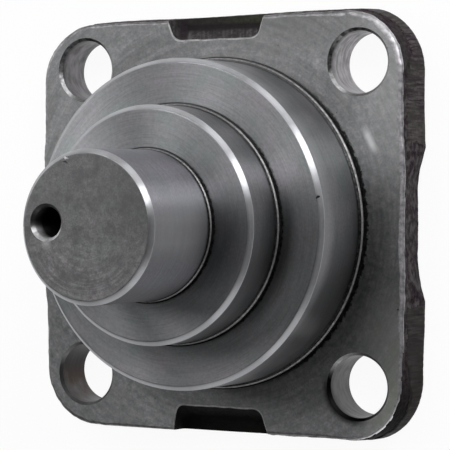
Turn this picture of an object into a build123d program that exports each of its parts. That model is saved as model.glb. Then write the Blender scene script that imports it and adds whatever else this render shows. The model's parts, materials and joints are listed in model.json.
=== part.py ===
"""Flanged king pin, one steel forging turned to its bearing and pilot sizes.

A square flange with four bolt holes carries a pilot spigot, a shoulder and the pin, one on the
other along one axis. The origin is the middle of the flange's back face and +Z runs up the pin, so
the part stands on its back face. Sizes are in millimetres and angles in degrees.
"""

from build123d import *

import os
from math import atan2, cos, radians, sin, sqrt, tan

# Flange
flange_thickness = 12.5
flange_corner_radius = 17.5     # at the back face
flange_draft = 4.0              # slope of the forged sides, narrower towards the front
flange_back_radius = 2.0        # as-forged rounding of the back edge
flange_front_chamfer = 1.2      # edge broken when the front was faced

# Bolt holes, in a square pattern round the pilot
bolt_hole_diameter = 17.0       # clearance for 16 mm bolts
bolt_pilot_gap = 8.37           # from the pilot to the wall of each hole
bolt_edge_gap = 6.5             # from the wall of each hole to the flange's edge
bolt_hole_front_chamfer = 0.8
bolt_hole_back_chamfer = 0.5

# Turned steps, each a diameter and its length above the face below it
pilot_diameter = 90.0
pilot_length = 23.0
shoulder_diameter = 64.0
shoulder_length = 14.5
pin_diameter = 40.0
pin_length = 29.0
pilot_chamfer = 1.25
shoulder_chamfer = 1.25
pin_chamfer = 1.5               # lead-in for the bearing

# Relief turned at the foot of each step, so that what fits over it seats on the face
relief_wall_depth = 0.25        # into the step
relief_wall_height = 0.6        # over the face, before the run-out
relief_corner = 0.4             # broken corner between the two, from the tool's nose
relief_wall_angle = 15.0        # run-out up the step
relief_outer_angle = 30.0       # slope of the outer side, up to the face
pilot_relief_width = 2.4        # over the flange's face
pilot_relief_depth = 0.6
step_relief_width = 1.6         # over the faces of the pilot and of the shoulder
step_relief_depth = 0.4

# Drilled locating hole in the end of the pin
end_hole_diameter = 8.0
end_hole_edge_gap = 4.2         # from the wall of the pin, on its -X side, to the wall of the hole
end_hole_depth = 14.0           # at full diameter
end_hole_chamfer = 0.5
drill_point_angle = 118.0

# Forged lever notches in the front face, at the middle of the top and bottom edges
notch_inner_width = 24.4        # across the end nearest the pin, at the front face
notch_outer_width = 29.4        # across its mouth in the flange's edge
notch_length = 6.6
notch_depth = 5.0
notch_side_angle = 8.0          # slope of the two sides, from the pin's direction
notch_end_angle = 34.0          # slope of the inner end, from the pin's direction
notch_corner_radius = 2.4

# Forged relief of the left and right edges, deepest at the back and gone at the front
side_relief_depth = 2.6         # at the back face
side_relief_floor = 26.0        # length of the full depth
side_relief_mouth = 45.0        # length of its opening in the flange's edge
side_relief_radius = 12.0       # easing from the floor to its sloping ends

# How far a cutting shape runs past the stock
overrun = 4.0

bolt_circle_radius = pilot_diameter / 2 + bolt_pilot_gap + bolt_hole_diameter / 2
bolt_pitch = bolt_circle_radius * sqrt(2)
flange_half = bolt_pitch / 2 + bolt_hole_diameter / 2 + bolt_edge_gap
flange_width = 2 * flange_half  # at the back face, before its edge is rounded
front_half = flange_half - flange_thickness * tan(radians(flange_draft))
pilot_top = flange_thickness + pilot_length
shoulder_top = pilot_top + shoulder_length
pin_top = shoulder_top + pin_length
end_hole_offset = pin_diameter / 2 - end_hole_edge_gap - end_hole_diameter / 2


def relief_section(foot_radius, face_height, width, depth):
    """Closed half-section of a relief at the foot of a step: into its wall and its face."""
    wall = foot_radius - relief_wall_depth
    floor = face_height - depth
    run_out_start = face_height + relief_wall_height
    run_out_rise = (relief_wall_depth + overrun) / tan(radians(relief_wall_angle))
    outer_floor = foot_radius + width - depth / tan(radians(relief_outer_angle))
    outer_rise = overrun * tan(radians(relief_outer_angle))
    with BuildSketch(Plane.XZ) as section:
        with BuildLine():
            Polyline(
                (wall + relief_corner, floor),
                (outer_floor, floor),
                (foot_radius + width + overrun, face_height + outer_rise),
                (foot_radius + overrun, run_out_start + run_out_rise),
                (wall, run_out_start),
                (wall, floor + relief_corner),
                close=True,
            )
        make_face()
    return section.sketch


def notch_outline(height, turn):
    """Rounded trapezoid of a lever notch at one height, open past the flange's edge."""
    sunk = flange_thickness - height
    flare = (notch_outer_width - notch_inner_width) / 2 / notch_length
    mouth_y = flange_half + overrun
    face_end_y = front_half - notch_length
    end_y = face_end_y + sunk * tan(radians(notch_end_angle))
    draft = sunk * tan(radians(notch_side_angle))
    end_half = notch_inner_width / 2 + flare * (end_y - face_end_y) - draft
    mouth_half = notch_inner_width / 2 + flare * (mouth_y - face_end_y) - draft
    with BuildSketch(Plane.XY.offset(height).rotated((0, 0, turn))) as outline:
        with BuildLine():
            Polyline(
                (-end_half, end_y),
                (end_half, end_y),
                (mouth_half, mouth_y),
                (-mouth_half, mouth_y),
                close=True,
            )
        make_face()
        fillet(outline.vertices().group_by(Axis.Y)[0], radius=notch_corner_radius)
    return outline.sketch


with BuildPart() as king_pin:
    # Flange, its sides drafted from the back face up
    with BuildSketch(Plane.XY):
        RectangleRounded(flange_width, flange_width, flange_corner_radius)
    extrude(amount=flange_thickness, taper=flange_draft)
    chamfer(king_pin.edges().group_by(Axis.Z)[-1], length=flange_front_chamfer)

    # Side reliefs, each with a floor that leans out to meet the edge at the front face
    lean = atan2(front_half - flange_half + side_relief_depth, flange_thickness)
    spread = (side_relief_mouth - side_relief_floor) / 2 / side_relief_depth
    for side in (1, -1):
        floor_plane = Plane(
            origin=(side * (flange_half - side_relief_depth), 0, 0),
            x_dir=(side * cos(lean), 0, -sin(lean)),
            z_dir=(side * sin(lean), 0, cos(lean)),
        )
        outer_x = side_relief_depth + overrun
        outer_half = side_relief_floor / 2 + spread * outer_x
        with BuildSketch(floor_plane) as relief_outline:
            with BuildLine():
                Polyline(
                    (0, side_relief_floor / 2),
                    (0, -side_relief_floor / 2),
                    (outer_x, -outer_half),
                    (outer_x, outer_half),
                    close=True,
                )
            make_face()
            floor_corners = relief_outline.vertices().group_by(Axis.X)[0]
            fillet(floor_corners, radius=side_relief_radius)
        extrude(amount=flange_thickness + overrun, both=True, mode=Mode.SUBTRACT)

    fillet(king_pin.edges().group_by(Axis.Z)[0], radius=flange_back_radius)

    # Lever notches
    for turn in (0, 180):
        above = notch_outline(flange_thickness + overrun, turn)
        below = notch_outline(flange_thickness - notch_depth, turn)
        loft([below, above], mode=Mode.SUBTRACT)

    # Pilot, shoulder and pin, turned about one axis
    with BuildSketch(Plane.XZ):
        with BuildLine():
            Polyline(
                (0, 0),
                (pilot_diameter / 2, 0),
                (pilot_diameter / 2, pilot_top),
                (shoulder_diameter / 2, pilot_top),
                (shoulder_diameter / 2, shoulder_top),
                (pin_diameter / 2, shoulder_top),
                (pin_diameter / 2, pin_top),
                (0, pin_top),
                close=True,
            )
        make_face()
    revolve(axis=Axis.Z)
    for top, size in (
        (pilot_top, pilot_chamfer),
        (shoulder_top, shoulder_chamfer),
        (pin_top, pin_chamfer),
    ):
        rim = king_pin.edges().filter_by_position(Axis.Z, top, top).sort_by(SortBy.RADIUS)[-1]
        chamfer(rim, length=size)

    # Reliefs at the feet of the three steps
    for foot_radius, face_height, width, depth in (
        (pilot_diameter / 2, flange_thickness, pilot_relief_width, pilot_relief_depth),
        (shoulder_diameter / 2, pilot_top, step_relief_width, step_relief_depth),
        (pin_diameter / 2, shoulder_top, step_relief_width, step_relief_depth),
    ):
        revolve(relief_section(foot_radius, face_height, width, depth), axis=Axis.Z, mode=Mode.SUBTRACT)

    # Bolt holes, chamfered on both faces
    with Locations((0, 0, flange_thickness)):
        with GridLocations(bolt_pitch, bolt_pitch, 2, 2):
            Hole(bolt_hole_diameter / 2, depth=flange_thickness)
    hole_rims = king_pin.edges().filter_by(GeomType.CIRCLE)
    hole_rims = hole_rims.filter_by(lambda edge: abs(edge.radius - bolt_hole_diameter / 2) < 1e-6)
    chamfer(hole_rims.group_by(Axis.Z)[-1], length=bolt_hole_front_chamfer)
    chamfer(hole_rims.group_by(Axis.Z)[0], length=bolt_hole_back_chamfer)

    # Blind drilled hole in the end of the pin
    with Locations((-end_hole_offset, 0, pin_top)):
        Hole(end_hole_diameter / 2, depth=end_hole_depth)
    end_hole_rim = king_pin.edges().filter_by_position(Axis.Z, pin_top, pin_top)
    chamfer(end_hole_rim.sort_by(SortBy.RADIUS)[0], length=end_hole_chamfer)
    point_height = end_hole_diameter / 2 / tan(radians(drill_point_angle / 2))
    with Locations((-end_hole_offset, 0, pin_top - end_hole_depth)):
        Cone(
            bottom_radius=0,
            top_radius=end_hole_diameter / 2,
            height=point_height,
            align=(Align.CENTER, Align.CENTER, Align.MAX),
            mode=Mode.SUBTRACT,
        )

king_pin.part.label = "king_pin"

os.makedirs("parts", exist_ok=True)
export_step(king_pin.part, "parts/king_pin.step")
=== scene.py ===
import json
from functools import partialmethod
from math import cos, exp, hypot, pi, radians, sin, sqrt, tan

import bmesh
import bpy
from mathutils import Matrix, Vector, noise


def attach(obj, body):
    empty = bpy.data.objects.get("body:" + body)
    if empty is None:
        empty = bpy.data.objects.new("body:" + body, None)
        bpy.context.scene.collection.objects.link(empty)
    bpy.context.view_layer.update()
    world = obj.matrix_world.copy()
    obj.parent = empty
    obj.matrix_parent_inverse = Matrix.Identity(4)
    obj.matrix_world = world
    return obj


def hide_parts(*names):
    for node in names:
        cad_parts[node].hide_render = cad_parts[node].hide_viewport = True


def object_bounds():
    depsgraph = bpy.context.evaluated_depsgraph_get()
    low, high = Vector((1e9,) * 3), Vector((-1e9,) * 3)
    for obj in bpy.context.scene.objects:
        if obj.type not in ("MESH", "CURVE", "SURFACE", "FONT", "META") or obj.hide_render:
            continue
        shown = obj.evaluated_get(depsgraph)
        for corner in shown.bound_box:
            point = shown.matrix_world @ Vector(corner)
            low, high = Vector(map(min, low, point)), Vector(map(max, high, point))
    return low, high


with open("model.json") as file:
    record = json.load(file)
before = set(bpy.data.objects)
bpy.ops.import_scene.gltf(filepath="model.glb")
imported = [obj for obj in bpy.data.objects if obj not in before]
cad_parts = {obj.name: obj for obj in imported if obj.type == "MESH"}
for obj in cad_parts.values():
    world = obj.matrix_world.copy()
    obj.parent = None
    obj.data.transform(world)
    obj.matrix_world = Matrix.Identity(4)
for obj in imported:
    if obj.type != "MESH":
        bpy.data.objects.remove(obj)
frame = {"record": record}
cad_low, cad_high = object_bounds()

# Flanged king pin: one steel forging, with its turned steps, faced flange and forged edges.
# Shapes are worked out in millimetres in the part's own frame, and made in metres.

MM = 0.001
mounts = {mount["name"]: mount for mount in frame["record"]["mounts"]}

# Turned steps
pilot_radius = mounts["pilot"]["dims"]["r_mm"]
shoulder_radius = mounts["shoulder"]["dims"]["r_mm"]
pin_radius = mounts["journal"]["dims"]["r_mm"]
face_height = mounts["mating_face"]["pos_m"][2] / MM
pilot_top = 35.5
shoulder_top = 50.0
pin_top = cad_high.z / MM
rim_chamfer = 1.25
corner_rounding = 0.22          # what the tool leaves on a turned corner
rounding_share = 0.4            # most of a span that a rounding may take
lathe_segments = 384
lathe_start = 3.0               # height inside the flange where the turned profile starts
lathe_span = 9.0                # longest span of the turned profile
centre_radius = 0.5             # of the small cap that closes the pin's end

# Foot of each step, where the finishing cut stops above a raised ring: how far out the ring
# stands, its height and the size of its broken edge
pilot_ring = (1.0, 1.5, 0.4)
shoulder_ring = (0.6, 1.1, 0.35)
pin_ring = (0.4, 0.8, 0.3)
steps = [                       # radius, heights of foot and top, raised ring
    (pilot_radius, face_height, pilot_top, pilot_ring),
    (shoulder_radius, pilot_top, shoulder_top, shoulder_ring),
    (pin_radius, shoulder_top, pin_top, pin_ring),
]
ring_groove_width = 0.3         # in the face round the ring
ring_groove_depth = 0.2
ring_undercut = 0.1             # of the ring's top into the step
ring_slope = 0.35               # rise of the ring's top towards the step
ring_run_out = 0.4              # of the cut above the ring

# Bolt holes and the hole in the pin's end
bolt_radius = mounts["bolts"]["dims"]["hole_r_mm"]
bolt_reach = mounts["bolts"]["dims"]["spacing_x_mm"] / 2
bolt_front_chamfer = 0.8
bolt_back_chamfer = 0.5
bolt_span = 2.0                 # longest span of a bolt hole's profile
end_hole_radius = mounts["end_hole"]["dims"]["r_mm"]
end_hole_drift = (-0.2, 1.1)    # of the drill from the hole's nominal place
end_hole_x = mounts["end_hole"]["pos_m"][0] / MM + end_hole_drift[0]
end_hole_y = mounts["end_hole"]["pos_m"][1] / MM + end_hole_drift[1]
end_hole_depth = 14.0
end_hole_chamfer = 0.9
end_hole_rounding = 0.3
drill_point_rise = 2.4
drill_point_radius = 0.05
hole_segments = 96
cutter_reach = 1.0              # of a cutter beyond the face that it opens

# Flange
straight_half = 41.25           # half the straight stretch of each side
back_reach = 17.5               # from the straight's line to the edge, at the back face
draft_slope = tan(radians(4))
back_rounding = 2.0
column_step = 0.4
low_rows = [0.0, 0.12, 0.35, 0.7, 1.2, 2.0]     # heights of the points up the back rounding
rows_above = 26                 # more of them up to the worn edge, and round that edge
rows_round = 6
box_limit = cad_high.x / MM - 0.02  # just inside the solids' box
die_shift = (-0.7, -0.6)        # of the front half of the forging against the turned axis
skin_allowance = 0.16           # by which the rough side stays inside its nominal line
fullness = [                    # (x, y, how far out, over what distance) where the dies filled unevenly
    (35, 58, 0.8, 26),
    (58, 0, 0.35, 24),
    (58, 40, -0.25, 16),
    (50, -58, 0.78, 10),
    (58, -40, -0.35, 10),
    (-52, 54, -0.45, 10),
    (-30, -58, 0.8, 28),
    (-58, -42, -1.1, 22),
]
crest = [                       # the same, growing from nothing at the back face to the front face
    (58, -36, 0.45, 13),
    (54, -52, -0.2, 9),
]

# The trimmed part of the side, below, and the forged skin above it
shear_depth = 2.3               # of the line between them under the front face
shear_corner_depth = 3.6        # more of it at the corners
shear_corner = (68, 76)         # distances from the axis over which a corner begins
shear_least = 1.0
shear_blend = 0.25
shear_ledge = 0.3               # by which the skin stands back from the trimmed part
shear_calm = 0.8                # share of the lumps that the shear took off
rib_stretch = 9.0               # length of the shear's ribs against their width

# Side reliefs
relief_depth_back = 2.6
relief_floor_half = 12.2
relief_flare = 3.65             # widening of the mouth for each millimetre of depth
relief_easing = 1.1
relief_ends = (23.7, 20.7)      # where the skin of the relief begins and is whole
flat_side = 0.999               # least share of the normal along X on a flat side

# Worn front edge
worn_width = 0.95
worn_drop = 0.8
worn_least = (0.5, 0.45)
worn_corner = (68, 78)          # distances from the axis over which a corner begins
worn_corner_width = 0.35        # more of the width and of the drop at the corners
worn_corner_drop = 0.3
worn_right = (-10, 50)          # the right-hand side, with its greater width, but for its lower end
worn_right_low = (-20, -40)
worn_right_width = 0.35
worn_right_corner_width = 0.15
edge_burr = (-47.0, 56.0)       # a bright nick in the worn edge, at the top left corner
edge_burr_radii = (1.5, 0.4)
crest_skin = 0.4                # how far below the face the skin reaches at the lower right,
crest_skin_from = 17            # and half the distance below the middle where that begins

# Lever notches
notch_floor = 7.5
notch_sides = {                 # half-widths, inner and at the mouth, of its left and right
    1: ((13.8, 16.5), (12.6, 14.8)),
    -1: ((13.5, 15.9), (13.1, 14.2)),
}
notch_length = 6.6
notch_overrun = 3.0             # of the cutter beyond the flange
notch_side_slope = tan(radians(8))
notch_end_slope = tan(radians(34))
notch_corner = 2.4
notch_fillet = 0.9
notch_worn_rim = 0.28
notch_steps = (14, 6, 30)       # points along a side, round a corner and along the inner end

# Unevenness of the forging, as waves of (height, size, seed)
bow_waves = [(0.12, 15.0, 3.1)]
lump_waves = [(0.16, 3.4, 7.7), (0.1, 1.3, 1.9)]
rib_waves = [(0.06, 0.9, 2.9), (0.05, 2.4, 5.1)]
shear_line_waves = [(1.3, 9.0, 6.6), (1.1, 2.5, 8.8)]
relief_end_waves = [(1.3, 1.6, 3.3)]
worn_width_waves = [(0.3, 11.0, 5.3), (0.25, 3.0, 2.2)]
worn_drop_waves = [(0.3, 2.2, 9.1), (0.2, 7.0, 0.4)]
notch_waves = [(0.16, 2.6, 4.4)]

(FACED, TURNED, SEAT, EDGE, WORN, HOLE_RIM, NOTCH_RIM, BORE, END_BORE, FORGED, SHEARED, NOTCH, GROOVE,
 RING, PIN_END) = range(15)

gouges = [                      # (start, end, width, depth, finish)
    ((44.8, 8.6, pilot_top), (42.9, 7.0, pilot_top), 1.7, 0.9, GROOVE),
    ((43.2, 7.3, pilot_top), (42.0, 6.3, pilot_top), 1.2, 0.3, RING),
    ((-7.4, 18.5, pin_top), (-4.8, 17.2, pin_top), 1.6, 0.6, RING),
    ((-7.6, 16.7, pin_top), (-4.9, 16.1, pin_top), 1.5, 0.3, GROOVE),
    ((55.3, -22.6, face_height), (56.0, -22.5, face_height), 0.9, 0.3, GROOVE),
]
gouge_lift = 0.12               # of a gouge's cutter above the face
gouge_deepest = 0.6             # share of a gouge's length at which it is deepest


def smooth_step(low, high, value):
    """0 at low, 1 at high, eased in between and level beyond."""
    t = min(1.0, max(0.0, (value - low) / (high - low)))
    return t * t * (3 - 2 * t)


def rough(x, y, z, waves):
    """Smooth noise summed over waves, each with features of about its size."""
    total = 0.0
    for height, size, seed in waves:
        spot = Vector((x / size + seed, y / size - seed, z / size + 0.37 * seed))
        total += height * noise.noise(spot)
    return total


def bent(start, corner, end, t):
    """A point on the arc from start to end that a corner pulls out."""
    return start * (1 - t) ** 2 + corner * 2 * t * (1 - t) + end * t * t


def mesh_object(name, bm):
    """An object in metres made from a bmesh in millimetres."""
    bmesh.ops.recalc_face_normals(bm, faces=bm.faces)
    bmesh.ops.scale(bm, vec=(MM, MM, MM), verts=bm.verts)
    mesh = bpy.data.meshes.new(name)
    bm.to_mesh(mesh)
    bm.free()
    obj = bpy.data.objects.new(name, mesh)
    bpy.context.scene.collection.objects.link(obj)
    for material in finishes:
        mesh.materials.append(material)
    return obj


def skin_rings(bm, rings, spans, caps=()):
    """Quads between rings of equal length, with each span's finish, and caps with theirs."""
    count = len(rings[0])
    for lower, upper, finish in zip(rings, rings[1:], spans):
        for i in range(count):
            j = (i + 1) % count
            bm.faces.new((lower[i], lower[j], upper[j], upper[i])).material_index = finish
    for ring, finish in zip((rings[0], rings[-1]), caps):
        bm.faces.new(ring).material_index = finish


def circle(bm, radius, height, segments, centre=(0, 0), start=0.0):
    """Vertices round a circle, the first of them turned by a share of one segment."""
    ring = []
    for i in range(segments):
        angle = 2 * pi * (i + start) / segments
        x, y = centre[0] + radius * cos(angle), centre[1] + radius * sin(angle)
        ring.append(bm.verts.new((x, y, height)))
    return ring


def lathe(name, profile, segments, centre=(0, 0)):
    """A solid of revolution from (radius, height, finish of the span after it) points."""
    bm = bmesh.new()
    rings = [circle(bm, radius, height, segments, centre) for radius, height, _ in profile]
    spans = [finish for _, _, finish in profile]
    skin_rings(bm, rings, spans, (spans[0], spans[-1]))
    return mesh_object(name, bm)


def rounded(points, size, steps=2):
    """A profile with each inner point replaced by a small arc, keeping the spans' finishes."""
    result = [points[0]]
    for before, here, after in zip(points, points[1:], points[2:]):
        a, p, b = (Vector(q[:2]) for q in (before, here, after))
        cut = min(size, (p - a).length * rounding_share, (b - p).length * rounding_share)
        start = p + (a - p).normalized() * cut
        end = p + (b - p).normalized() * cut
        for k in range(steps + 1):
            q = bent(start, p, end, k / steps)
            finish = before[2] if k < steps / 2 else here[2]
            result.append((q.x, q.y, finish))
    result.append(points[-1])
    return result


def subdivided(points, longest):
    """A profile with its long spans divided."""
    result = []
    for (r0, z0, finish), (r1, z1, _) in zip(points, points[1:]):
        parts = max(1, round(hypot(r1 - r0, z1 - z0) / longest))
        for k in range(parts):
            result.append((r0 + (r1 - r0) * k / parts, z0 + (z1 - z0) * k / parts, finish))
    result.append(points[-1])
    return result


def step_foot(radius, height, ring):
    """The foot of a step: the groove in the face round it, its raised ring and the corner above."""
    out, rise, broken = ring
    wall = radius + out
    return [
        (wall + ring_groove_width, height, GROOVE),
        (wall + ring_groove_width / 3, height - ring_groove_depth, GROOVE),
        (wall, height - ring_groove_depth, GROOVE),
        (wall, height + rise - broken, RING),
        (wall - broken, height + rise, GROOVE),
        (radius - ring_undercut, height + rise + ring_slope, GROOVE),
        (radius, height + rise + ring_slope + ring_run_out, TURNED),
    ]


def turned_steps():
    """Pilot, shoulder and pin in one profile, which starts inside the flange."""
    profile = []
    for radius, foot, top, ring in steps:
        profile += step_foot(radius, foot, ring)
        profile += [(radius, top - rim_chamfer, EDGE), (radius - rim_chamfer, top, SEAT)]
    inside = [(pilot_radius + pilot_ring[0], lathe_start, GROOVE)]
    end = [(radius, pin_top, PIN_END) for radius in (pin_radius - rim_chamfer, centre_radius)]
    profile = rounded(inside + profile[3:-1] + end, corner_rounding)
    return lathe("turned_steps", subdivided(profile, lathe_span), lathe_segments)


def ring_groove():
    """The cutter of the groove in the flange's face, round the pilot's raised ring."""
    wall = pilot_radius + pilot_ring[0]
    floor = face_height - ring_groove_depth
    slope = 2 / 3 * ring_groove_width / ring_groove_depth
    section = [
        (wall - cutter_reach, floor),
        (wall + ring_groove_width / 3, floor),
        (wall + ring_groove_width + cutter_reach * slope, face_height + cutter_reach),
        (wall - cutter_reach, face_height + cutter_reach),
    ]
    bm = bmesh.new()
    loops = [circle(bm, radius, height, lathe_segments, start=0.5) for radius, height in section]
    skin_rings(bm, loops + loops[:1], [GROOVE] * 4)
    return mesh_object("ring_groove", bm)


def gouge_cutter(start, end, width, depth, finish):
    """The cutter of a small gouge in an upward face: two points, its width and depth, and its finish."""
    a, b = Vector(start), Vector(end)
    side = (b - a).normalized().cross(Vector((0, 0, 1)))
    middle = a.lerp(b, gouge_deepest)
    lift = Vector((0, 0, gouge_lift))
    rim = [a + lift, middle + side * width / 2 + lift, b + lift, middle - side * width / 2 + lift]
    bm = bmesh.new()
    corners = [bm.verts.new(p) for p in rim]
    bottom = bm.verts.new(middle - Vector((0, 0, depth)))
    bm.faces.new(corners)
    for i in range(4):
        bm.faces.new((corners[i], bottom, corners[(i + 1) % 4]))
    for face in bm.faces:
        face.material_index = finish
    return mesh_object("gouge_cutter", bm)


def bolt_cutter(x, y):
    """The cutter of one bolt hole, with its two chamfers."""
    profile = [
        (bolt_radius + bolt_back_chamfer + cutter_reach, -cutter_reach, HOLE_RIM),
        (bolt_radius, bolt_back_chamfer, BORE),
        (bolt_radius, face_height - bolt_front_chamfer, HOLE_RIM),
        (bolt_radius + bolt_front_chamfer + cutter_reach, face_height + cutter_reach, HOLE_RIM),
    ]
    return lathe("bolt_cutter", subdivided(profile, bolt_span), hole_segments, (x, y))


def end_hole_cutter():
    """The cutter of the blind hole in the pin's end."""
    bottom = pin_top - end_hole_depth
    profile = [
        (drill_point_radius, bottom - drill_point_rise, END_BORE),
        (end_hole_radius, bottom, END_BORE),
        (end_hole_radius, pin_top - end_hole_chamfer, END_BORE),
        (end_hole_radius + end_hole_chamfer + cutter_reach, pin_top + cutter_reach, END_BORE),
    ]
    profile = rounded(profile, end_hole_rounding, steps=3)
    return lathe("end_hole_cutter", profile, hole_segments, (end_hole_x, end_hole_y))


def edge_columns():
    """(anchor x, anchor y, normal x, normal y, way round) of each column of the flange's side."""
    columns = []
    way = 0.0
    side_count = round(2 * straight_half / column_step)
    corner_count = round(back_reach * pi / 2 / column_step)
    for side in range(4):
        turn = side * pi / 2
        nx, ny = cos(turn), sin(turn)
        for i in range(side_count):
            along = -straight_half + 2 * straight_half * i / side_count
            x, y = nx * straight_half - ny * along, ny * straight_half + nx * along
            columns.append((x, y, nx, ny, way))
            way += 2 * straight_half / side_count
        x, y = (nx - ny) * straight_half, (ny + nx) * straight_half
        for i in range(corner_count):
            angle = turn + pi / 2 * i / corner_count
            columns.append((x, y, cos(angle), sin(angle), way))
            way += back_reach * pi / 2 / corner_count
    return columns


def side_relief(y, nx, height):
    """How far the forged relief goes in at a point of the left or right side."""
    if abs(nx) < flat_side:
        return 0.0
    depth = relief_depth_back * (1 - height / face_height)
    ramp = (relief_floor_half + relief_flare * depth - abs(y)) / relief_flare
    gap = max(0.0, relief_easing - abs(ramp - depth)) / relief_easing
    return max(0.0, min(ramp, depth) - relief_easing * gap * gap / 4) if ramp > 0 else 0.0


def filled(px, py, swells):
    """How far out uneven filling puts the side at a place."""
    total = 0.0
    for x, y, out, spread in swells:
        total += out * exp(-((px - x) ** 2 + (py - y) ** 2) / spread ** 2)
    return total


def above_shear(px, py, height):
    """How far a place lies above the line where the trimmed part of the side ends."""
    corner = smooth_step(*shear_corner, hypot(px, py))
    depth = shear_depth + shear_corner_depth * corner + rough(px, py, 0, shear_line_waves)
    return height - (face_height - max(shear_least, depth))


def relief_share(px, py, wander=0.0):
    """1 in the side reliefs, where the shear didn't reach, and 0 away from them."""
    return smooth_step(*relief_ends, abs(py) + wander) if abs(px) >= abs(py) else 0.0


def sheared(px, py, height):
    """1 on the trimmed part of the side and 0 on the forged skin and in the side reliefs."""
    trimmed = 1 - relief_share(px, py, rough(0, py, height, relief_end_waves))
    return trimmed * smooth_step(shear_blend, -shear_blend, above_shear(px, py, height))


def forged_reach(column, height):
    """How far out from its anchor the forged side lies in one column at one height."""
    x, y, nx, ny, way = column
    reach = back_reach - height * draft_slope
    reach += (die_shift[0] * nx + die_shift[1] * ny) * height / face_height
    reach -= side_relief(y, nx, height)
    px, py = x + nx * reach, y + ny * reach
    reach += filled(px, py, fullness) + filled(px, py, crest) * height / face_height
    reach += rough(px, py, height, bow_waves) - skin_allowance
    cut = sheared(px, py, height)
    lumps = rough(px, py, height, lump_waves)
    ribs = rough(way, 0, height / rib_stretch, rib_waves)
    skin = smooth_step(-shear_blend, shear_blend, above_shear(px, py, height)) * (1 - relief_share(px, py))
    reach += lumps * (1 - shear_calm * cut) + ribs * cut - shear_ledge * skin
    if height < back_rounding:
        reach -= back_rounding - sqrt(back_rounding ** 2 - (back_rounding - height) ** 2)
    room_x = (box_limit - abs(x)) / max(abs(nx), 0.01)
    room_y = (box_limit - abs(y)) / max(abs(ny), 0.01)
    return min(reach, room_x, room_y)


def break_size(column):
    """(width, drop) of the worn front edge in one column, widest round the right-hand corners."""
    x, y, nx, ny, _ = column
    px, py = x + nx * back_reach, y + ny * back_reach
    corner = smooth_step(*worn_corner, hypot(px, py))
    right = smooth_step(*worn_right, px)
    not_lower = 1 - smooth_step(*worn_right_low, py) * right
    extra = (worn_corner_width + worn_right_corner_width * right) * corner + worn_right_width * right
    width = worn_width + extra * not_lower + rough(px, py, 0, worn_width_waves)
    width += smooth_step(*edge_burr_radii, hypot(px - edge_burr[0], py - edge_burr[1]))
    drop = worn_drop + worn_corner_drop * corner + rough(px, py, 0, worn_drop_waves)
    return max(worn_least[0], width), max(worn_least[1], drop)


def flange():
    """The forged and faced flange, before its holes and notches."""
    bm = bmesh.new()
    rings = [[] for _ in range(len(low_rows) + rows_above + rows_round)]
    for column in edge_columns():
        x, y, nx, ny, _ = column
        width, drop = break_size(column)
        top = face_height - drop
        heights = list(low_rows)
        for k in range(1, rows_above + 1):
            heights.append(low_rows[-1] + (top - low_rows[-1]) * k / rows_above)
        points = [(forged_reach(column, h), h) for h in heights]
        reach = points[-1][0]
        for k in range(1, rows_round + 1):
            turn = pi / 2 * k / rows_round
            height = face_height - drop * (1 - sin(turn))
            points.append((reach - width * (1 - cos(turn)), height))
        for ring, (out, height) in zip(rings, points):
            ring.append(bm.verts.new((x + nx * out, y + ny * out, height)))
    spans = [FORGED] * (len(rings) - rows_round - 1) + [WORN] * rows_round
    skin_rings(bm, rings, spans, (FORGED, FACED))
    for face in bm.faces:
        centre = face.calc_center_median()
        if face.material_index == FORGED and len(face.verts) == 4:
            if sheared(*centre) > 0.5:
                face.material_index = SHEARED
        elif face.material_index == WORN:
            lower_right = centre.x > -centre.y / 2 > crest_skin_from
            if lower_right and centre.z < face_height - crest_skin:
                face.material_index = FORGED
    return mesh_object("flange", bm)


def notch_spread(height):
    """How far a notch's walls stand out at one height: in at the floor's fillet, out at the rim."""
    foot = max(0.0, 1 - (height - notch_floor) / notch_fillet)
    worn = max(0.0, 1 - (face_height - height) / notch_worn_rim)
    return notch_worn_rim * min(worn, 2.0) ** 2 - notch_fillet * (1 - sqrt(1 - foot ** 2))


def notch_ring(height, side):
    """Points round a lever notch at one height, from its mouth in and back out."""
    side_steps, corner_steps, end_steps = notch_steps
    sunk = face_height - height
    front_half = straight_half + back_reach - face_height * draft_slope
    face_end = front_half - notch_length
    end = face_end + sunk * notch_end_slope
    mouth = straight_half + back_reach + notch_overrun
    spread = notch_spread(height)
    corners = []
    for inner, outer in notch_sides[side]:
        flare = (outer - inner) / notch_length
        at_end = inner + flare * (end - face_end) - sunk * notch_side_slope + spread
        corners.append((at_end, at_end + flare * (mouth - end)))
    end -= spread
    (end_left, mouth_left_x), (end_right, mouth_right_x) = corners
    mouth_left, mouth_right = Vector((-mouth_left_x, mouth)), Vector((mouth_right_x, mouth))
    left, right = Vector((-end_left, end)), Vector((end_right, end))
    bends = []
    for before, corner, after in ((mouth_left, left, right), (left, right, mouth_right)):
        start = corner + (before - corner).normalized() * notch_corner
        stop = corner + (after - corner).normalized() * notch_corner
        bends.append([bent(start, corner, stop, k / corner_steps) for k in range(corner_steps + 1)])
    first, second = bends
    points = [mouth_left.lerp(first[0], k / side_steps) for k in range(side_steps)] + first
    points += [first[-1].lerp(second[0], k / end_steps) for k in range(1, end_steps)] + second
    points += [second[-1].lerp(mouth_right, k / side_steps) for k in range(1, side_steps + 1)]
    result = []
    for p in points:
        wander = rough(p.x, p.y * side, height, notch_waves)
        result.append((p.x * side, (p.y + wander) * side, height))
    return result


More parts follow.
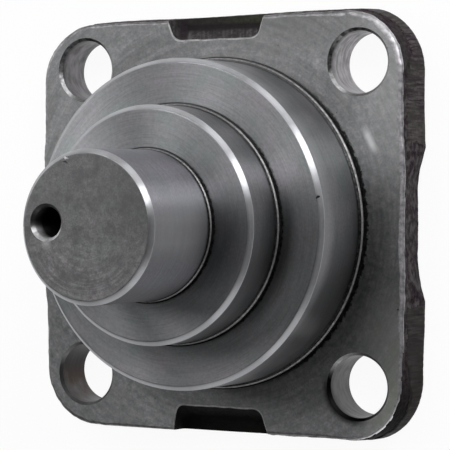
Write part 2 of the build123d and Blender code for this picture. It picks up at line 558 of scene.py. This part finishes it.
def notch_cutter(side):
    """The cutter of one lever notch, with the uneven walls of a forging."""
    bm = bmesh.new()
    wall_rows = 10
    heights = [notch_floor + notch_fillet * share for share in (0.0, 0.12, 0.35, 0.65, 1.0)]
    wall_foot = heights[-1]
    wall_top = face_height - notch_worn_rim
    for k in range(1, wall_rows + 1):
        heights.append(wall_foot + (wall_top - wall_foot) * k / wall_rows)
    rim_rows = [wall_top + notch_worn_rim * share for share in (0.4, 0.75, 1.0, 1.4)]
    spans = [NOTCH] * (len(heights) - 1) + [NOTCH_RIM] * len(rim_rows)
    rings = [[bm.verts.new(p) for p in notch_ring(height, side)] for height in heights + rim_rows]
    skin_rings(bm, rings, spans, (NOTCH, NOTCH))
    return mesh_object("notch_cutter", bm)


def combine(target, other, operation):
    """Cuts other from target or joins it on, and deletes it."""
    modifier = target.modifiers.new("combine", "BOOLEAN")
    modifier.operation = operation
    modifier.solver = "EXACT"
    modifier.object = other
    graph = bpy.context.evaluated_depsgraph_get()
    mesh = bpy.data.meshes.new_from_object(target.evaluated_get(graph))
    target.modifiers.clear()
    old = target.data
    target.data = mesh
    bpy.data.meshes.remove(old)
    bpy.data.objects.remove(other)


def node(tree, kind, inputs=None, **settings):
    """A shader node with its settings and its inputs, each a value, a socket or a Field."""
    made = tree.nodes.new(kind)
    for name, value in settings.items():
        setattr(made, name, value)
    for key, value in (inputs or {}).items():
        if isinstance(value, Field):
            value = value.socket
        if isinstance(value, bpy.types.NodeSocket):
            tree.links.new(value, made.inputs[key])
        else:
            made.inputs[key].default_value = value
    return made


class Field:
    """What a shader node works out at every point, with the usual signs for sums."""

    def __init__(self, socket):
        self.socket = socket

    def math(self, operation, *others):
        inputs = dict(enumerate((self, *others)))
        return Field(node(self.socket.id_data, "ShaderNodeMath", inputs, operation=operation).outputs[0])

    __add__ = partialmethod(math, "ADD")
    __sub__ = partialmethod(math, "SUBTRACT")
    __mul__ = partialmethod(math, "MULTIPLY")
    __truediv__ = partialmethod(math, "DIVIDE")
    __gt__ = partialmethod(math, "GREATER_THAN")
    __lt__ = partialmethod(math, "LESS_THAN")
    __abs__ = partialmethod(math, "ABSOLUTE")

    def between(self, low, high):
        """1 where the field lies between two values and 0 elsewhere."""
        return self.math("COMPARE", (low + high) / 2, (high - low) / 2)

    def ramp(self, low, high, to_low=0.0, to_high=1.0):
        """The field brought from one range to another, and held at its ends."""
        inputs = {"Value": self, "From Min": low, "From Max": high, "To Min": to_low, "To Max": to_high}
        return Field(node(self.socket.id_data, "ShaderNodeMapRange", inputs).outputs[0])


def rgba(colour):
    """A colour for a socket, from a Field, from three numbers or from one for a grey."""
    if isinstance(colour, Field):
        return colour
    return (colour, colour, colour, 1) if isinstance(colour, float) else (*colour, 1)


quarter_turn = 0.25             # of the anisotropy, to lie along the tool's marks


class Finish:
    """A material with a principled shader, and short names for the nodes that drive it."""

    def __init__(self, name, metallic=1.0, anisotropic=0.0, specular=0.5):
        self.material = bpy.data.materials.new(name)
        self.material.use_nodes = True
        self.tree = self.material.node_tree
        self.shader = self.tree.nodes["Principled BSDF"]
        values = {"Metallic": metallic, "Specular IOR Level": specular, "Anisotropic": anisotropic}
        for socket, value in values.items():
            self.shader.inputs[socket].default_value = value
        if anisotropic:
            self.shader.inputs["Anisotropic Rotation"].default_value = quarter_turn
            self.drive("Tangent", self.field("ShaderNodeTangent", direction_type="RADIAL", axis="Z"))
        coordinates = self.field("ShaderNodeTexCoord", output="Object")
        self.place = self.scaled(coordinates, (1 / MM, 1 / MM, 1 / MM))
        parts = node(self.tree, "ShaderNodeSeparateXYZ", {0: self.place})
        self.x, self.y, self.z = (Field(part) for part in parts.outputs)
        self.radius = self.distance(self.x, self.y)
        self.colour = None

    def field(self, kind, inputs=None, output=0, **settings):
        return Field(node(self.tree, kind, inputs, **settings).outputs[output])

    def drive(self, socket, field):
        self.tree.links.new(field.socket, self.shader.inputs[socket])

    def scaled(self, place, scale):
        return self.field("ShaderNodeVectorMath", {0: place, 1: scale}, operation="MULTIPLY")

    def point(self, x, y, z=0.0):
        return self.field("ShaderNodeCombineXYZ", {0: x, 1: y, 2: z})

    def distance(self, across, up):
        inputs = {0: self.point(across, up)}
        return self.field("ShaderNodeVectorMath", inputs, "Value", operation="LENGTH")

    def noise(self, spot, detail, roughness, scale=1.0):
        """Noise from 0 to 1 at a spot, with features of about one unit over scale."""
        inputs = {"Vector": spot, "Scale": scale, "Detail": detail, "Roughness": roughness}
        return self.field("ShaderNodeTexNoise", inputs)

    def grain(self, size, detail=3.0, stretch=(1, 1, 1), roughness=0.55):
        """Noise from 0 to 1 with features of one size in millimetres, longer where stretched."""
        spot = self.scaled(self.place, tuple(1 / (size * s) for s in stretch))
        return self.noise(spot, detail, roughness)

    def turning(self, pitch, length=30.0, detail=2.0):
        """Noise from 0 to 1 drawn out round the axis, as a lathe tool leaves it."""
        spot = self.point((self.radius + self.z) / pitch, self.x / length, self.y / length)
        return self.noise(spot, detail, 0.6)

    def lathe_marks(self):
        """The noises of a turned step: fine and broad marks, smudges and specks."""
        return self.turning(0.3, 9.0), self.turning(1.1, 40.0), self.grain(9.0, detail=5.0), self.grain(0.7)

    def mix(self, share, first, second):
        """A colour between two others."""
        inputs = {0: share, 6: rgba(first), 7: rgba(second)}
        return self.field("ShaderNodeMix", inputs, 2, data_type="RGBA")

    def base(self, share, first, second):
        """The colour under all others: between two, by a share from 0 to 1."""
        self.colour = self.mix(share, first, second)

    def paint(self, share, tint):
        """Lays a tint over the colour so far, by a share from 0 to 1."""
        self.colour = self.mix(share, self.colour, tint)

    def complete(self, roughness, *bumps):
        """The material, with its roughness and its bumps of (height, depth in millimetres)."""
        normal = {}
        for height, depth in bumps:
            inputs = {"Height": height, "Distance": depth * MM, "Strength": 1.0, **normal}
            normal = {"Normal": self.field("ShaderNodeBump", inputs)}
        self.drive("Base Color", self.colour)
        self.drive("Roughness", roughness)
        self.drive("Normal", normal["Normal"])
        return self.material

    def foot_dirt_and_shade(self, edge, spill):
        """1 where dirt and painted shade lie round a raised ring, thicker and more ragged towards +X."""
        share = ((self.x - self.y * 0.15) / self.radius).ramp(0.3, 0.75, 0.15, 1.0)
        ragged = self.grain(1.1, detail=4.0, roughness=0.65).ramp(0.35, 0.72)
        over = self.radius - ragged * share * spill
        return over.ramp(edge - 0.1, edge + 0.4, 1.0, 0.0) * share

    def from_hole(self):
        """How far across and up a point lies from the axis of the nearest bolt hole, in millimetres."""
        return [place - place.math("SIGN") * bolt_reach for place in (self.x, self.y)]

    def turned_place(self, x, y, direction):
        """How far aside and along a point lies from a place on the face, for a direction in degrees."""
        dx, dy = cos(radians(direction)), sin(radians(direction))
        from_x, from_y = self.x - x, self.y - y
        return abs(from_y * dx - from_x * dy), abs(from_x * dx + from_y * dy)

    def lower_right(self):
        """1 in the lower right quarter of the flange and 0 in the others."""
        return (self.x > 0.0) * (self.y < 0.0)

    def hole_dirt(self, low, high):
        """1 where dirt lies round a bolt hole: on its upper left, but lower left in the lower right one."""
        across, up = self.from_hole()
        lower_right = self.lower_right()
        side = up * lower_right.ramp(0.0, 1.0, 1.0, -1.0) - across
        ragged = self.grain(1.6, detail=4.0).ramp(0.3, 0.6, 0.5, 1.0)
        return side.ramp(low, high) * ragged.math("MAXIMUM", lower_right)


def turned_steel():
    """The sides of the steps as a lathe leaves them, with painted highlights and painted shade, and dirt
    and painted shade at their feet.
    """
    steel = Finish("turned_steel", anisotropic=0.95)
    fine, broad, smudge, speck = steel.lathe_marks()
    smudged = smudge.ramp(0.35, 0.65)
    on_shoulder = steel.z.between(pilot_top, shoulder_top)
    on_pin = steel.z.ramp(shoulder_top, shoulder_top + 0.4)
    steel.base(smudged, (0.23, 0.25, 0.254), (0.285, 0.272, 0.295))
    steel.paint(on_shoulder, steel.mix(smudged, (0.213, 0.23, 0.235), (0.26, 0.25, 0.27)))
    steel.paint(on_pin, steel.mix(smudged, (0.215, 0.23, 0.25), (0.263, 0.253, 0.288)))
    steel.paint(fine.ramp(0.35, 0.7, 0.0, 0.45), (0.12, 0.12, 0.125))
    steel.paint(speck.ramp(0.3, 0.7, 0.4, 0.0), 0.11)

    # Painted highlights at the right of the pin and under the pilot's rim, and painted shade on the lower
    # side
    near_rim = steel.z.ramp(pilot_top - 7.5, pilot_top - 3.0) * (steel.z < pilot_top)
    upward = steel.y / steel.radius
    painted_pin_highlight = abs(upward + 0.06).ramp(0.5, 0.15) * on_pin * (steel.x > 0.0)
    steel.paint(painted_pin_highlight * 0.6, (0.48, 0.48, 0.5))
    steel.paint(near_rim * 0.3, (0.45, 0.45, 0.46))
    shaded = (upward + on_pin * 0.7 + near_rim * 0.4).ramp(0.12, -0.3, 0.0, 0.68)
    steel.paint(shaded, (0.075, 0.075, 0.078))

    # Dirt and painted shade at the steps' feet
    ragged = steel.grain(1.3).ramp(0.3, 0.7, 0.45, 1.0)
    for _, foot, _, ring in steps:
        above = foot + ring[1] + ring_slope
        band = steel.z.ramp(above + 1.3, above + 0.2) * (steel.z > above - 0.2)
        steel.paint(band * ragged, (0.03, 0.029, 0.03))
    roughness = broad.ramp(0.3, 0.7, 0.33, 0.4) + smudge.ramp(0.3, 0.7, -0.02, 0.04) + on_pin * 0.15
    return steel.complete(roughness, (speck, 0.006), (fine, 0.004), (broad, 0.01))


def seat_steel():
    """The faces of the steps, turned more finely, with dirt and painted shade round the next step's ring.
    """
    steel = Finish("seat_steel", anisotropic=0.88)
    fine, broad, smudge, speck = steel.lathe_marks()
    steel.base(smudge.ramp(0.35, 0.65), (0.263, 0.29, 0.292), (0.327, 0.313, 0.336))
    steel.paint(fine.ramp(0.35, 0.7, 0.0, 0.45), (0.16, 0.16, 0.165))
    steel.paint(speck.ramp(0.3, 0.7, 0.4, 0.0), 0.15)
    for radius, seat, _, ring in steps[1:]:
        on_seat = steel.z.between(seat - 0.1, seat + 0.1)
        # Dirt and painted shade in the corner round the next step's ring
        steel.paint(on_seat * steel.foot_dirt_and_shade(radius + ring[0] + ring_groove_width, 0.5), 0.02)
    roughness = broad.ramp(0.3, 0.7, 0.32, 0.4) + smudge.ramp(0.3, 0.7, -0.02, 0.04)
    return steel.complete(roughness, (speck, 0.006), (fine, 0.004), (broad, 0.01))


def pin_end_steel():
    """The pin's end: faced with a coarser feed, then dulled and mottled by handling, with painted shade
    towards its upper right.
    """
    steel = Finish("pin_end_steel", anisotropic=0.45)
    feed = steel.turning(0.75, 14.0, detail=1.0)
    grit = steel.grain(0.5, roughness=0.6)
    mottle = steel.grain(1.5, detail=5.0, roughness=0.7)
    cloud = steel.grain(5.0, detail=4.0)
    tint = steel.grain(8.0, detail=2.0)
    steel.base(tint.ramp(0.42, 0.6), (0.29, 0.3, 0.295), (0.31, 0.3, 0.31))
    steel.paint(mottle.ramp(0.35, 0.65, 0.65, 0.0), (0.09, 0.088, 0.092))
    steel.paint(grit.ramp(0.35, 0.65, 0.45, 0.0), 0.08)
    steel.paint(cloud.ramp(0.5, 0.68, 0.0, 0.5), (0.095, 0.092, 0.098))
    # Painted shade, darker towards the upper right of the end
    upper_right = steel.y.ramp(-9.0, 6.0, 0.0, 0.45) + steel.x.ramp(0.0, 14.0, 0.0, 0.22)
    steel.paint(upper_right, (0.09, 0.09, 0.092))
    steel.paint(feed.ramp(0.42, 0.58) * steel.y.ramp(-2.0, -12.0, 0.1, 0.5), 0.1)
    bright_spot = steel.distance(steel.x - end_hole_x, steel.y - (end_hole_y - end_hole_radius - 1.2))
    steel.paint(bright_spot.ramp(0.3, 1.8, 0.5, 0.0), (0.5, 0.5, 0.51))
    return steel.complete(mottle.ramp(0.3, 0.7, 0.42, 0.54), (feed, 0.01), (mottle, 0.02))


def faced_steel():
    """The flange's front: rougher, mottled and faintly pitted, with wide arcs of the facing cut."""
    steel = Finish("faced_steel", anisotropic=0.65)
    arcs = steel.turning(1.6, 60.0)
    streaks = steel.turning(0.8, 9.0, detail=3.0)
    grit = steel.grain(0.6, roughness=0.6)
    mottle = steel.grain(1.7, detail=6.0, roughness=0.65)
    cloud = steel.grain(16.0, detail=4.0)
    pits = steel.grain(0.9, detail=2.0)
    olive = steel.grain(12.0)
    steel.base(mottle.ramp(0.3, 0.7), (0.155, 0.17, 0.17), (0.352, 0.346, 0.358))
    steel.paint(grit.ramp(0.35, 0.65, 0.35, 0.0), 0.1)
    steel.paint(cloud.ramp(0.35, 0.7, 0.0, 0.3), (0.16, 0.158, 0.16))
    steel.paint(arcs.ramp(0.4, 0.7, 0.0, 0.3), 0.14)
    steel.paint(streaks.ramp(0.45, 0.65, 0.0, 0.3), 0.12)
    steel.paint(pits.ramp(0.72, 0.78, 0.0, 0.8), 0.02)

    # Brighter where it was rubbed, at the right; a painted highlight at the upper right and a painted
    # streak of highlight across it; and darker beside a notch
    rubbed = steel.x.ramp(42.0, 54.0) * steel.y.ramp(-15.0, -30.0)
    steel.paint(rubbed * 0.36, steel.mix(olive.ramp(0.45, 0.6), (0.56, 0.56, 0.57), (0.5, 0.53, 0.44)))
    # Painted highlight, lighter at the upper right of the face
    upper_right = steel.x.ramp(38.0, 50.0) * steel.y.ramp(6.0, 20.0)
    steel.paint(upper_right * 0.14, 0.6)
    beside_notch = steel.x.ramp(0.0, 10.0) * steel.x.ramp(40.0, 30.0) * steel.y.ramp(44.0, 54.0)
    steel.paint(beside_notch * 0.5, 0.14)
    # Painted highlight: one light streak across the face at the upper right
    aside, along = steel.turned_place(47.3, 22.7, -62)
    steel.paint(aside.ramp(1.4, 0.3) * along.ramp(4.5, 1.5) * 0.6, (0.75, 0.75, 0.76))

    # Dirt and painted shade round the pilot's ring, and dirt round one bolt hole
    steel.paint(steel.foot_dirt_and_shade(pilot_radius + pilot_ring[0] + ring_groove_width, 1.0), 0.02)
    spill = steel.distance(*steel.from_hole()).ramp(bolt_radius + 0.8, bolt_radius + 2.6, 1.0, 0.0)
    steel.paint(spill * steel.lower_right() * steel.hole_dirt(5.0, 11.0), 0.008)
    roughness = mottle.ramp(0.3, 0.7, 0.44, 0.54) + arcs.ramp(0.3, 0.7, -0.05, 0.05)
    return steel.complete(roughness, (arcs, 0.02), (mottle, 0.03))


def edge_steel():
    """Turned chamfers, brighter than the steps and finely marked round the axis, with painted shade at the
    upper left, along their inner borders and on the pin's upper side.
    """
    steel = Finish("edge_steel", anisotropic=0.9)
    marks = steel.turning(0.3, 10.0)
    scuffs = steel.grain(1.6, detail=4.0)
    steel.base(scuffs, (0.46, 0.48, 0.49), (0.64, 0.63, 0.67))
    # Painted shade, darker on the upper left chamfers
    upper_left = (steel.x / steel.radius).ramp(-0.25, -0.8, 0.0, 0.7) * (steel.y > 0.0)
    steel.paint(upper_left, (0.1, 0.1, 0.103))
    # Painted shade along each chamfer's inner border, softening its highlight
    for _, _, top, _ in steps:
        inner = steel.z.ramp(top - 0.5, top) * (steel.z < top + 0.1)
        steel.paint(inner * 0.6, (0.28, 0.28, 0.285))
    # Painted shade on the pin's chamfer at its upper side, dimming its highlight
    pin_chamfer_shade = steel.z.ramp(60.0, 62.0) * steel.y.ramp(0.0, 5.0, 0.0, 0.3)
    steel.paint(pin_chamfer_shade, (0.25, 0.25, 0.255))
    return steel.complete(scuffs.ramp(0.3, 0.7, 0.36, 0.44), (marks, 0.004), (scuffs, 0.008))


def worn_steel():
    """The flange's broken front edge, rubbed bright in places, and lighter still along its right side and
    at its right-hand corners, most at the lower right one, by wear and painted highlight.
    """
    steel = Finish("worn_steel")
    scuffs = steel.grain(1.4, detail=5.0)
    patches = steel.grain(5.0)
    steel.base(scuffs.ramp(0.3, 0.7), (0.15, 0.155, 0.16), (0.32, 0.31, 0.32))
    steel.paint(patches.ramp(0.5, 0.65, 0.0, 0.5), (0.12, 0.118, 0.12))
    # Wear and painted highlight, lighter along the right side
    right_wear_and_highlight = steel.x.ramp(50.0, 54.0) * steel.y.ramp(-50.0, 0.0, 0.35, 1.0)
    steel.paint(right_wear_and_highlight * scuffs.ramp(0.35, 0.65, 0.1, 0.5), (0.5, 0.47, 0.51))
    # Wear and painted highlight, near white on the outer part of the right-hand corners, most at the lower
    # right
    outer = steel.z.ramp(face_height - 0.03, face_height - 0.25, 0.3, 0.95)
    corner = steel.radius.ramp(69.5, 74.0) * outer
    lower_right = steel.lower_right()
    upper = ((steel.x > 0.0) - lower_right) * scuffs.ramp(0.3, 0.6, 0.5, 1.0)
    lower = lower_right * steel.y.ramp(-44.0, -51.0, 0.1, 1.0) * scuffs.ramp(0.32, 0.5, 0.35, 1.0)
    steel.paint(corner * (lower + upper * 0.6), (0.92, 0.91, 0.94))
    return steel.complete(scuffs.ramp(0.3, 0.7, 0.58, 0.44), (scuffs, 0.02))


def hole_rim_steel():
    """The broken edges of the bolt holes, clean on one side and dirty on the other, darker round the lower
    left one, and with painted shade dimming the lower right one.
    """
    steel = Finish("hole_rim_steel")
    scuffs = steel.grain(1.0, detail=4.0)
    lower_left = steel.x + steel.y < -50.0
    lower_right = steel.lower_right()
    steel.base(scuffs.ramp(0.3, 0.7), (0.42, 0.42, 0.43), (0.72, 0.72, 0.73))
    # Darker all round the lower left hole's rim, and painted shade dimming the lower right hole's rim
    steel.paint(lower_left * 0.85 + lower_right * 0.45, (0.15, 0.15, 0.153))
    dirt = steel.hole_dirt(-1.0, 7.0) * lower_left.ramp(0.0, 1.0, 1.0, 0.35)
    steel.paint(dirt, steel.mix(lower_right, (0.06, 0.058, 0.06), 0.008))
    return steel.complete(scuffs.ramp(0.3, 0.7, 0.45, 0.36), (scuffs, 0.02))


def notch_rim_steel():
    """The rounded rims of the lever notches, dull between the faced front and the scale."""
    steel = Finish("notch_rim_steel")
    scuffs = steel.grain(1.4, detail=4.0)
    steel.base(scuffs.ramp(0.3, 0.7), (0.26, 0.26, 0.265), (0.46, 0.455, 0.465))
    return steel.complete(scuffs.ramp(0.3, 0.7, 0.65, 0.55), (scuffs, 0.02))


def bored_steel():
    """Drilled walls, marked round the hole, dirty at one side and stained brown in the lower left one."""
    steel = Finish("bored_steel")
    rings = steel.grain(0.7, stretch=(9, 9, 1), roughness=0.6)
    scratches = steel.grain(1.3, detail=4.0, stretch=(3, 3, 1))
    stain = steel.grain(6.0, detail=4.0)
    steel.base(rings.ramp(0.35, 0.65), (0.31, 0.3, 0.312), (0.425, 0.41, 0.43))
    steel.paint(steel.y.ramp(20.0, -20.0, 0.0, 0.9), 0.09)
    steel.paint(steel.x.ramp(20.0, -20.0, 0.0, 0.6), (0.09, 0.085, 0.09))
    steel.paint(scratches.ramp(0.42, 0.62, 0.0, 0.5), (0.05, 0.048, 0.05))
    near_face = steel.z.ramp(face_height - 3.0, face_height - 0.9)
    steel.paint(near_face * steel.hole_dirt(1.0, 9.0), (0.03, 0.029, 0.03))
    _, up = steel.from_hole()
    rusty = (steel.x + steel.y).ramp(-90.0, 0.0, 0.3, -0.2) + up * 0.035
    brown = steel.mix(up.ramp(3.0, -4.0), (0.02, 0.017, 0.019), (0.055, 0.038, 0.029))
    steel.paint((stain + rusty).ramp(0.5, 0.75, 0.0, 0.95), brown)
    return steel.complete(rings.ramp(0.3, 0.7, 0.4, 0.52), (scratches, 0.01), (rings, 0.015))


def end_hole_steel():
    """The small hole's wall: marked round the hole, with painted shade on its upper side, and black with
    painted shade further down.
    """
    steel = Finish("end_hole_steel", anisotropic=0.9)
    across, up = steel.x - end_hole_x, steel.y - end_hole_y
    steel.drive("Tangent", steel.point(up * -1.0, across))
    grit = steel.grain(0.8, detail=4.0)
    steel.base(grit.ramp(0.3, 0.7), (0.4, 0.4, 0.41), (0.6, 0.6, 0.61))
    # Painted shade, darker on the wall's upper side
    steel.paint(up.ramp(-2.8, 0.6, 0.0, 0.85), 0.02)
    # Painted shade, black further down the hole
    steel.paint(steel.z.ramp(pin_top - 4.4, pin_top - 1.0, 0.97, 0.0), 0.004)
    return steel.complete(grit.ramp(0.3, 0.7, 0.5, 0.42), (grit, 0.02))


def forged_scale():
    """The forging's own skin: dark purple-brown scale, broken by grey patches away from the corners, with
    painted shade at the lower right corner.
    """
    scale = Finish("forged_scale", metallic=0.0, specular=0.05)
    lumps = scale.grain(1.1, detail=6.0, roughness=0.65)
    patches = scale.grain(2.6, detail=4.0, stretch=(1, 1, 0.7))
    tint = scale.grain(7.0, detail=2.0)
    scale.base(lumps.ramp(0.35, 0.65), (0.016, 0.01, 0.014), (0.062, 0.049, 0.056))
    scale.paint(tint.ramp(0.45, 0.6, 0.0, 0.4), (0.04, 0.042, 0.036))
    off_corners = scale.radius.ramp(74.0, 66.0)
    scale.paint(patches.ramp(0.48, 0.64) * off_corners * 0.8, (0.112, 0.105, 0.105))
    scale.paint(patches.ramp(0.47, 0.38, 0.0, 0.5), (0.012, 0.006, 0.01))
    # Painted shade, near black at the lower right corner
    lower_right = scale.y.ramp(-50.0, -32.0, 0.95, 0.0) * scale.x.ramp(10.0, 35.0)
    scale.paint(lower_right, (0.003, 0.002, 0.0025))
    return scale.complete(lumps.ramp(0.3, 0.7, 0.8, 0.6), (lumps, 0.2))


def sheared_steel():
    """The trimmed side of the flange, ribbed through its thickness by the shear, with painted shade at the
    lower right.
    """
    steel = Finish("sheared_steel", metallic=0.1, specular=0.12)
    ribs = steel.grain(0.8, stretch=(1, 1, 40), roughness=0.6)
    bands = steel.grain(2.6, detail=2.0, stretch=(1, 1, 6))
    tint = steel.grain(9.0, detail=2.0)
    mottle = steel.grain(0.9, detail=4.0)
    steel.base(ribs.ramp(0.41, 0.59), (0.024, 0.016, 0.021), (0.102, 0.086, 0.09))
    steel.paint(tint.ramp(0.45, 0.6, 0.0, 0.5), (0.075, 0.078, 0.06))
    steel.paint(bands.ramp(0.48, 0.62, 0.0, 0.7), (0.03, 0.022, 0.027))
    steel.paint(mottle.ramp(0.35, 0.6, 0.55, 0.0), (0.025, 0.018, 0.023))
    # Painted shade, darker at the lower right
    lower_right = steel.y.ramp(-40.0, 10.0, 0.85, 0.0) * steel.x.ramp(10.0, 35.0)
    steel.paint(lower_right, (0.014, 0.013, 0.011))
    return steel.complete(ribs.ramp(0.3, 0.7, 0.75, 0.55), (ribs, 0.2))


def notch_scale():
    """Scale in the lever notches: streaked down the inner end, with painted shade black in its foot and
    along one crease, and painted shade black in the lower notch.
    """
    scale = Finish("notch_scale", metallic=0.0, specular=0.1)
    lumps = scale.grain(1.0, detail=6.0, roughness=0.6)
    patches = scale.grain(3.0)
    leaning = scale.x - (scale.z - notch_floor) * 0.56
    streaks = scale.noise(scale.point(leaning, scale.y * 0.08), 4.0, 0.5, scale=1.2)
    near_mouth = abs(scale.y).ramp(55.5, 56.4)
    mouth_colour = scale.mix(scale.x.ramp(-2.0, 9.0), (0.028, 0.026, 0.024), (0.04, 0.043, 0.027))
    # Painted shade, near black at the foot away from the mouth
    shaded_floor_colour = scale.mix(near_mouth, (0.014, 0.012, 0.013), mouth_colour)
    wall_colour = scale.mix(streaks.ramp(0.38, 0.62), (0.035, 0.032, 0.034), (0.092, 0.087, 0.09))
    scale.base(scale.z.ramp(notch_floor + 0.3, notch_floor + 1.7), shaded_floor_colour, wall_colour)
    scale.paint(lumps.ramp(0.35, 0.65, 0.6, 0.0), (0.014, 0.012, 0.013))
    scale.paint(patches.ramp(0.52, 0.64, 0.0, 0.7), (0.016, 0.015, 0.014))
    # Painted shade along the crease at the left of the inner end, and a lighter line on the wall beside it
    shaded_crease = leaning + 13.6
    scale.paint(abs(shaded_crease).ramp(1.5, 0.8, 0.0, 0.8), (0.02, 0.015, 0.019))
    on_wall = scale.z.ramp(notch_floor + 0.3, notch_floor + 2.5)
    scale.paint(abs(shaded_crease - 1.9).ramp(0.8, 0.1, 0.0, 0.5) * on_wall, (0.12, 0.115, 0.118))
    # Painted shade, near black all over the lower notch
    scale.paint(scale.y.ramp(-10.0, 10.0, 0.97, 0.0), (0.002, 0.0025, 0.002))
    return scale.complete(lumps.ramp(0.3, 0.7, 0.85, 0.65), (lumps, 0.15))


def groove_steel():
    """The reliefs at the feet of the steps: turned steel with oil and dirt in it, and painted shade
    deepening that towards the lower right.
    """
    steel = Finish("groove_steel", anisotropic=0.6)
    grit = steel.grain(0.7, detail=4.0)
    steel.base(steel.turning(0.4, 9.0), (0.13, 0.13, 0.135), 0.22)
    # Dirt all round, with painted shade deepening it towards the lower right
    lower_right = ((steel.x - steel.y * 0.6) / steel.radius).ramp(-0.5, 0.5, 0.25, 0.95)
    steel.paint(lower_right * grit.ramp(0.25, 0.6, 0.5, 1.0), 0.012)
    return steel.complete(grit.ramp(0.3, 0.7, 0.5, 0.4), (grit, 0.02))


def ring_steel():
    """The broken edge of each raised ring: bright steel, dulled by the dirt on either side."""
    steel = Finish("ring_steel", anisotropic=0.5)
    grit = steel.grain(0.9, detail=4.0)
    steel.base(grit.ramp(0.3, 0.7), (0.24, 0.237, 0.242), (0.5, 0.49, 0.5))
    return steel.complete(grit.ramp(0.3, 0.7, 0.6, 0.5), (grit, 0.01))


finishes = [make() for make in (
    faced_steel, turned_steel, seat_steel, edge_steel, worn_steel, hole_rim_steel, notch_rim_steel,
    bored_steel, end_hole_steel, forged_scale, sheared_steel, notch_scale, groove_steel, ring_steel,
    pin_end_steel,
)]

piece = flange()
piece.name = "finished_king_pin"
for side in (1, -1):
    combine(piece, notch_cutter(side), "DIFFERENCE")
for x in (bolt_reach, -bolt_reach):
    for y in (bolt_reach, -bolt_reach):
        combine(piece, bolt_cutter(x, y), "DIFFERENCE")
combine(piece, ring_groove(), "DIFFERENCE")
combine(piece, turned_steps(), "UNION")
combine(piece, end_hole_cutter(), "DIFFERENCE")
for gouge in gouges:
    combine(piece, gouge_cutter(*gouge), "DIFFERENCE")

bm = bmesh.new()
bm.from_mesh(piece.data)
sharp_angle = radians(28)
for face in bm.faces:
    face.smooth = True
for edge in bm.edges:
    edge.smooth = len(edge.link_faces) == 2 and edge.calc_face_angle() < sharp_angle
bm.to_mesh(piece.data)
bm.free()
piece.modifiers.new("weighted_normals", "WEIGHTED_NORMAL").keep_sharp = True

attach(piece, "root")
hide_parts("king_pin")

# Floor
floor_half = 3000
floor_gap = 0.05                # below the part, in millimetres
paper_glow = 0.94               # share of white that the floor gives to what looks at it
floor_bm = bmesh.new()
bmesh.ops.create_grid(floor_bm, x_segments=8, y_segments=8, size=floor_half)
floor = mesh_object("floor", floor_bm)
floor.location.z = -floor_gap * MM


def floor_material():
    """Grey paper for the light, and almost white for whatever sees it or mirrors it."""
    material = bpy.data.materials.new("floor_paper")
    material.use_nodes = True
    tree = material.node_tree
    shader = tree.nodes["Principled BSDF"]
    shader.inputs["Base Color"].default_value = (0.9, 0.9, 0.9, 1)
    shader.inputs["Roughness"].default_value = 0.9
    path = node(tree, "ShaderNodeLightPath").outputs
    seen = Field(path["Is Camera Ray"]).math("MAXIMUM", path["Is Glossy Ray"])
    seen = seen.math("MAXIMUM", path["Is Transmission Ray"])
    glow = node(tree, "ShaderNodeEmission", {"Color": (1, 1, 1, 1), "Strength": 1.0})
    inputs = {0: seen * paper_glow, 1: shader.outputs[0], 2: glow.outputs[0]}
    mix = node(tree, "ShaderNodeMixShader", inputs)
    tree.links.new(mix.outputs[0], tree.nodes["Material Output"].inputs["Surface"])
    return material


floor.data.materials.clear()
floor.data.materials.append(floor_material())

# World
world = bpy.data.worlds.new("studio")
bpy.context.scene.world = world
world.use_nodes = True
background = world.node_tree.nodes["Background"]
background.inputs["Color"].default_value = (1, 1, 1, 1)
background.inputs["Strength"].default_value = 0.07

# Lamps
lamp_distance = 0.9
lamp_aim = Vector((0, 0, 0.03))
lamps = [                       # name, height and way round from +X in degrees, size, power
    ("key", 39, 42, 0.25, 3.1),
    ("overhead_right", 62, 50, 0.3, 0.7),
    ("upper_right", 56, 84, 0.3, 0.78),
    ("low_upper_right", 22, 72, 0.3, 0.7),
    ("upper", 50, 125, 0.3, 1.55),
    ("upper_left", 45, 162, 0.3, 0.6),
    ("left", 32, 165, 0.3, 1.35),
    ("overhead", 70, 135, 0.3, 0.3),
    ("overhead_left", 70, 180, 0.3, 0.23),
    ("low_left", 6, 160, 0.3, 0.32),
    ("low_upper_left", 6, 138, 0.3, 0.2),
    ("low_right", 12, -45, 0.3, 0.12),
    ("low_lower_right", 20, -62, 0.4, 0.5),
    ("low_lower", 12, -90, 0.7, 0.75),
]


def softbox(name, height_angle, way_round, size, power):
    """A soft square lamp that looks at the part."""
    lamp = bpy.data.lights.new(name, "AREA")
    lamp.energy = power
    lamp.size = size
    obj = bpy.data.objects.new(name, lamp)
    rise, turn = radians(height_angle), radians(way_round)
    away = Vector((cos(rise) * cos(turn), cos(rise) * sin(turn), sin(rise)))
    obj.location = lamp_aim + away * lamp_distance
    obj.rotation_mode = "QUATERNION"
    obj.rotation_quaternion = away.to_track_quat("Z", "Y")
    obj.visible_camera = False
    bpy.context.scene.collection.objects.link(obj)


for lamp in lamps:
    softbox(*lamp)

# Camera
camera_place = Vector((0.30614, 0.01077, 0.54215))
camera_aim = Vector((0.0126, -0.0001, 0.03))
camera = bpy.data.objects.new("camera", bpy.data.cameras.new("camera"))
camera.data.lens = 175.5
camera.data.sensor_width = 36
forward = (camera_aim - camera_place).normalized()
right = forward.cross(Vector((0, 1, 0))).normalized()
up = right.cross(forward)
rotation = Matrix((right, up, -forward)).transposed()
camera.matrix_world = Matrix.Translation(camera_place) @ rotation.to_4x4()
bpy.context.scene.collection.objects.link(camera)
bpy.context.scene.camera = camera
bpy.context.scene.view_settings.view_transform = "Standard"
